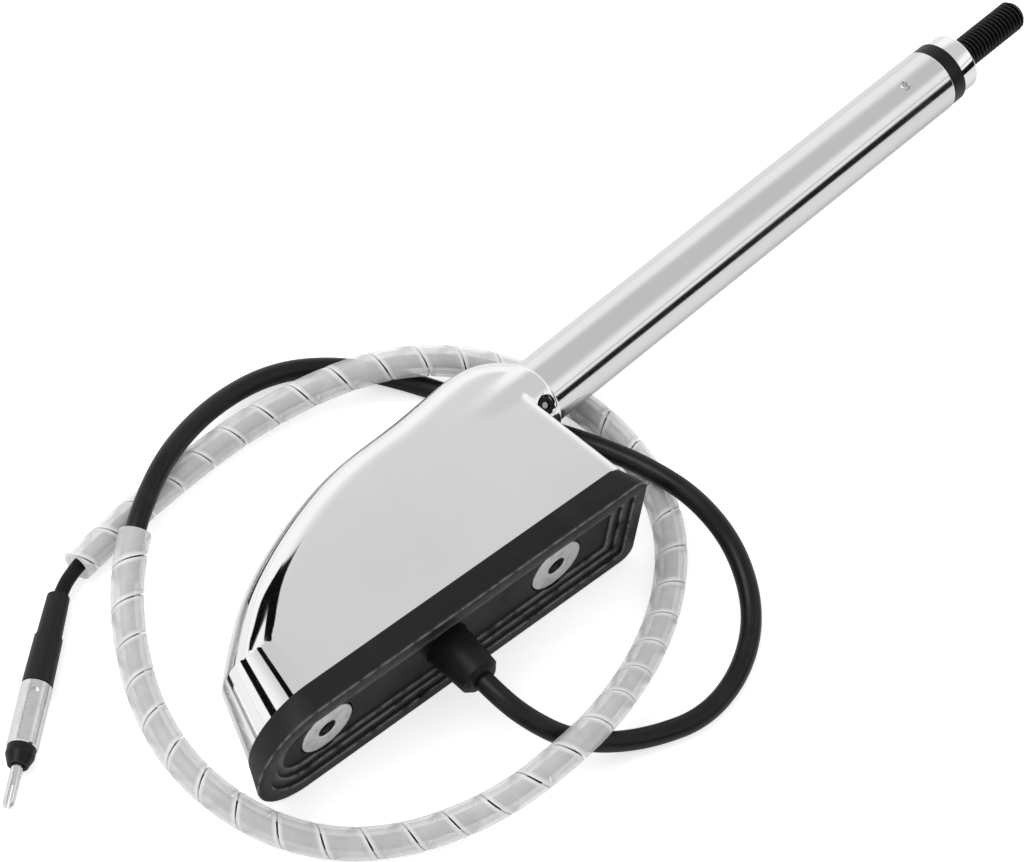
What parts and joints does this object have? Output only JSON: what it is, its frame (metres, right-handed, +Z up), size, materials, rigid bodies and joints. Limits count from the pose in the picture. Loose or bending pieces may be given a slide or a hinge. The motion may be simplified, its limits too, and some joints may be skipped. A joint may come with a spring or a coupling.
{
  "type": "motorcycle antenna",
  "caption": "Chromed raked antenna base and mast with a threaded whip stud, a rubber seat with two fixing bosses, and a wrapped cable ending in a radio plug.",
  "frame": {"origin": "centre of the mounting face, half way between the two fixing bosses", "axes": "+X from the toe of the base to the mast tip, +Y from the mounting face to the spine, +Z up through the flank that faces the viewer as it lies on its side"},
  "size_m": [0.4187, 0.1715, 0.0404],
  "materials": {
    "chrome": "polished",
    "seat_rubber": "dull moulded",
    "plain_steel": "bright plated",
    "black_plastic": "satin",
    "black_steel": "black oxide",
    "brass": "plain",
    "cable_jacket": "satin",
    "tail_jacket": "satin",
    "milky_plastic": "translucent",
    "shrink_sleeve": "satin",
    "nickel": "nickel plated"
  },
  "bodies": {
    "root": {"base_housing": "chrome", "base_gasket": "seat_rubber", "cable_gland": "seat_rubber", "mast_tube": "chrome", "mast_grub_screw": "black_steel", "mast_head_screw": "plain_steel", "insulator_bush": "black_plastic", "top_collar": "chrome", "whip_stud": "black_steel", "stud_nut": "plain_steel", "stud_terminal": "brass", "inner_lead": "cable_jacket", "black_cable": "cable_jacket", "spiral_wrap": "milky_plastic", "tail_cable": "tail_jacket", "sleeve_rear": "shrink_sleeve", "sleeve_front": "shrink_sleeve", "plug_barrel": "nickel", "plug_insulator": "black_plastic", "plug_pin": "nickel"}
  },
  "joints": []
}
